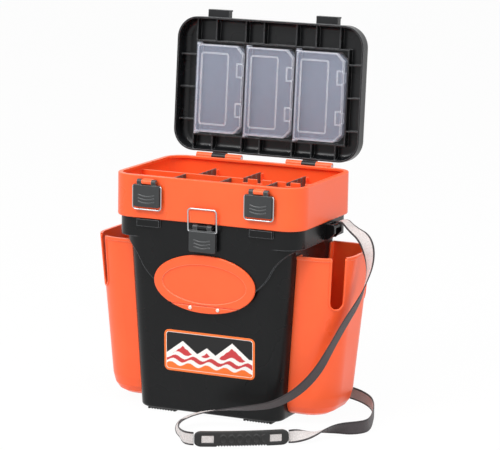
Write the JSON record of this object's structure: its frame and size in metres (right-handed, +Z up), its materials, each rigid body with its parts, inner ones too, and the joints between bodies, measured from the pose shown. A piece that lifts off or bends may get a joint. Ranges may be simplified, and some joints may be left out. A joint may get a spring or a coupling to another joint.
{
  "type": "ice fishing box",
  "caption": "Tall ice fishing seat box: tapered tub with oval hatch and side rod pockets, hinged tackle tray, hinged lid holding clear cases, wire latches and a padded strap.",
  "frame": {"origin": "on the floor under the middle of the tub, level with the bottom of the feet", "axes": "+Z up, -Y out of the front with the latches and the hatch, +X to the right as seen from the front"},
  "size_m": [0.4614, 0.3989, 0.5934],
  "materials": {
    "orange_plastic": "moulded satin polypropylene",
    "black_plastic": "moulded satin polypropylene",
    "grey_plastic": "moulded matt",
    "clear_plastic": "frosted clear polypropylene",
    "steel_wire": "bright zinc plated",
    "aluminium": "bright rivet",
    "black_rubber": "moulded matt",
    "webbing": "woven polyester"
  },
  "bodies": {
    "tub": {"tub_shell": "black_plastic", "feet": "black_rubber", "left_strap_lug": "black_plastic", "right_strap_lug": "black_plastic", "hatch_hinge_strip": "orange_plastic", "hatch_rivets": "aluminium", "tray_hinge_pins": "steel_wire", "centre_latch_pin": "steel_wire", "left_pocket": "orange_plastic", "right_pocket": "orange_plastic", "pocket_screws": "steel_wire", "strap_front": "webbing", "strap_rear": "webbing", "shoulder_pad": "black_rubber"},
    "hatch": {"hatch_cover": "orange_plastic"},
    "tray": {"tray_shell": "orange_plastic", "lid_hinge_pins": "steel_wire", "front_latch_pins": "steel_wire"},
    "lid": {"lid_shell": "black_plastic", "case_hinge_pins": "clear_plastic", "left_case_base": "clear_plastic", "middle_case_base": "clear_plastic", "right_case_base": "clear_plastic"},
    "centre_lever": {"centre_latch_lever": "black_plastic"},
    "centre_bail": {"centre_latch_bail": "steel_wire"},
    "left_lever": {"left_latch_lever": "black_plastic"},
    "left_bail": {"left_latch_bail": "steel_wire"},
    "right_lever": {"right_latch_lever": "black_plastic"},
    "right_bail": {"right_latch_bail": "steel_wire"},
    "left_cover": {"left_case_cover": "clear_plastic"},
    "middle_cover": {"middle_case_cover": "clear_plastic"},
    "right_cover": {"right_case_cover": "clear_plastic"},
    "front_left_divider": {"front_divider_left": "grey_plastic"},
    "front_middle_divider": {"front_divider_middle": "grey_plastic"},
    "front_right_divider": {"front_divider_right": "grey_plastic"},
    "rear_left_divider": {"rear_divider_left": "grey_plastic"},
    "rear_middle_divider": {"rear_divider_middle": "grey_plastic"},
    "rear_right_divider": {"rear_divider_right": "grey_plastic"}
  },
  "joints": [
    {"name": "tray_hinge", "type": "hinge", "parent": "tub", "child": "tray", "pos_m": [0, 0.1116, 0.3], "axis": [-1, 0, 0], "range_deg": [0, 90]},
    {"name": "lid_hinge", "type": "hinge", "parent": "tray", "child": "lid", "pos_m": [0, 0.1115, 0.366], "axis": [-1, 0, 0], "range_deg": [-94, 0]},
    {"name": "hatch_fold", "type": "hinge", "parent": "tub", "child": "hatch", "pos_m": [0, -0.09916, 0.17644], "axis": [1, 0, 0], "range_deg": [0, 85]},
    {"name": "centre_lever_pivot", "type": "hinge", "parent": "tub", "child": "centre_lever", "pos_m": [0, -0.1085, 0.296], "axis": [1, 0, 0], "range_deg": [-100, 0]},
    {"name": "centre_bail_pivot", "type": "hinge", "parent": "centre_lever", "child": "centre_bail", "pos_m": [0, -0.11, 0.2895], "axis": [1, 0, 0], "range_deg": [-6, 140]},
    {"name": "left_lever_pivot", "type": "hinge", "parent": "tray", "child": "left_lever", "pos_m": [-0.0915, -0.1115, 0.357], "axis": [1, 0, 0], "range_deg": [-100, 0]},
    {"name": "left_bail_pivot", "type": "hinge", "parent": "left_lever", "child": "left_bail", "pos_m": [-0.0915, -0.11145, 0.3505], "axis": [-1, 0, 0], "range_deg": [0, 180]},
    {"name": "right_lever_pivot", "type": "hinge", "parent": "tray", "child": "right_lever", "pos_m": [0.0915, -0.1115, 0.357], "axis": [1, 0, 0], "range_deg": [-100, 0]},
    {"name": "right_bail_pivot", "type": "hinge", "parent": "right_lever", "child": "right_bail", "pos_m": [0.0915, -0.11145, 0.3505], "axis": [-1, 0, 0], "range_deg": [0, 180]},
    {"name": "left_cover_hinge", "type": "hinge", "parent": "lid", "child": "left_cover", "pos_m": [-0.122, 0.12251, 0.47049], "axis": [0, -0.0698, -0.9976], "range_deg": [0, 110]},
    {"name": "middle_cover_hinge", "type": "hinge", "parent": "lid", "child": "middle_cover", "pos_m": [-0.0375, 0.12251, 0.47049], "axis": [0, -0.0698, -0.9976], "range_deg": [0, 110]},
    {"name": "right_cover_hinge", "type": "hinge", "parent": "lid", "child": "right_cover", "pos_m": [0.047, 0.12251, 0.47049], "axis": [0, -0.0698, -0.9976], "range_deg": [0, 110]},
    {"name": "front_left_divider_lift", "type": "slide", "parent": "tray", "child": "front_left_divider", "axis": [0, 0, 1], "range_m": [0, 0.055]},
    {"name": "front_middle_divider_lift", "type": "slide", "parent": "tray", "child": "front_middle_divider", "axis": [0, 0, 1], "range_m": [0, 0.055]},
    {"name": "front_right_divider_lift", "type": "slide", "parent": "tray", "child": "front_right_divider", "axis": [0, 0, 1], "range_m": [0, 0.055]},
    {"name": "rear_left_divider_lift", "type": "slide", "parent": "tray", "child": "rear_left_divider", "axis": [0, 0, 1], "range_m": [0, 0.055]},
    {"name": "rear_middle_divider_lift", "type": "slide", "parent": "tray", "child": "rear_middle_divider", "axis": [0, 0, 1], "range_m": [0, 0.055]},
    {"name": "rear_right_divider_lift", "type": "slide", "parent": "tray", "child": "rear_right_divider", "axis": [0, 0, 1], "range_m": [0, 0.055]}
  ],
  "couplings": [
    {"joint": "centre_bail_pivot", "follows": "centre_lever_pivot", "ratio": -1.3}
  ]
}
